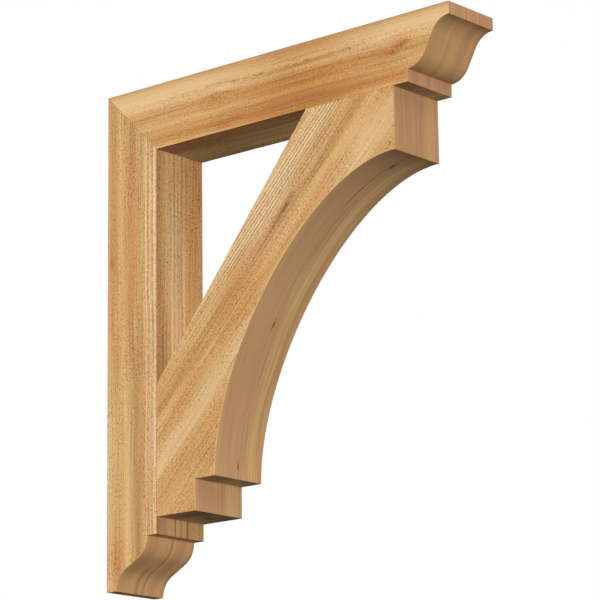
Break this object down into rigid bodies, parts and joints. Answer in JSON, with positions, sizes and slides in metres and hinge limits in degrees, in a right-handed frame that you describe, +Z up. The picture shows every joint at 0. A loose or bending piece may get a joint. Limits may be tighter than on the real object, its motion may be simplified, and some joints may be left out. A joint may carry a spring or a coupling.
{
  "type": "wooden corbel bracket",
  "caption": "Wall bracket of solid rough-sawn cedar: an upright and a level arm mitred together, moulded ends, and a raking brace cut to a long concave arc.",
  "frame": {"origin": "centre of the leg's flat back face, where the bracket lies on the wall", "axes": "+Z up, +Y into the wall, so the bracket stands out towards -Y; X is the width across the timbers"},
  "size_m": [0.1016, 0.6604, 0.762],
  "materials": {
    "leg_cedar": "rough-sawn sides, planed front",
    "arm_cedar": "rough-sawn sides, planed moulding",
    "brace_cedar": "rough-sawn sides, planed arc"
  },
  "bodies": {
    "root": {"wall_leg": "leg_cedar", "top_arm": "arm_cedar", "curved_brace": "brace_cedar"}
  },
  "joints": []
}
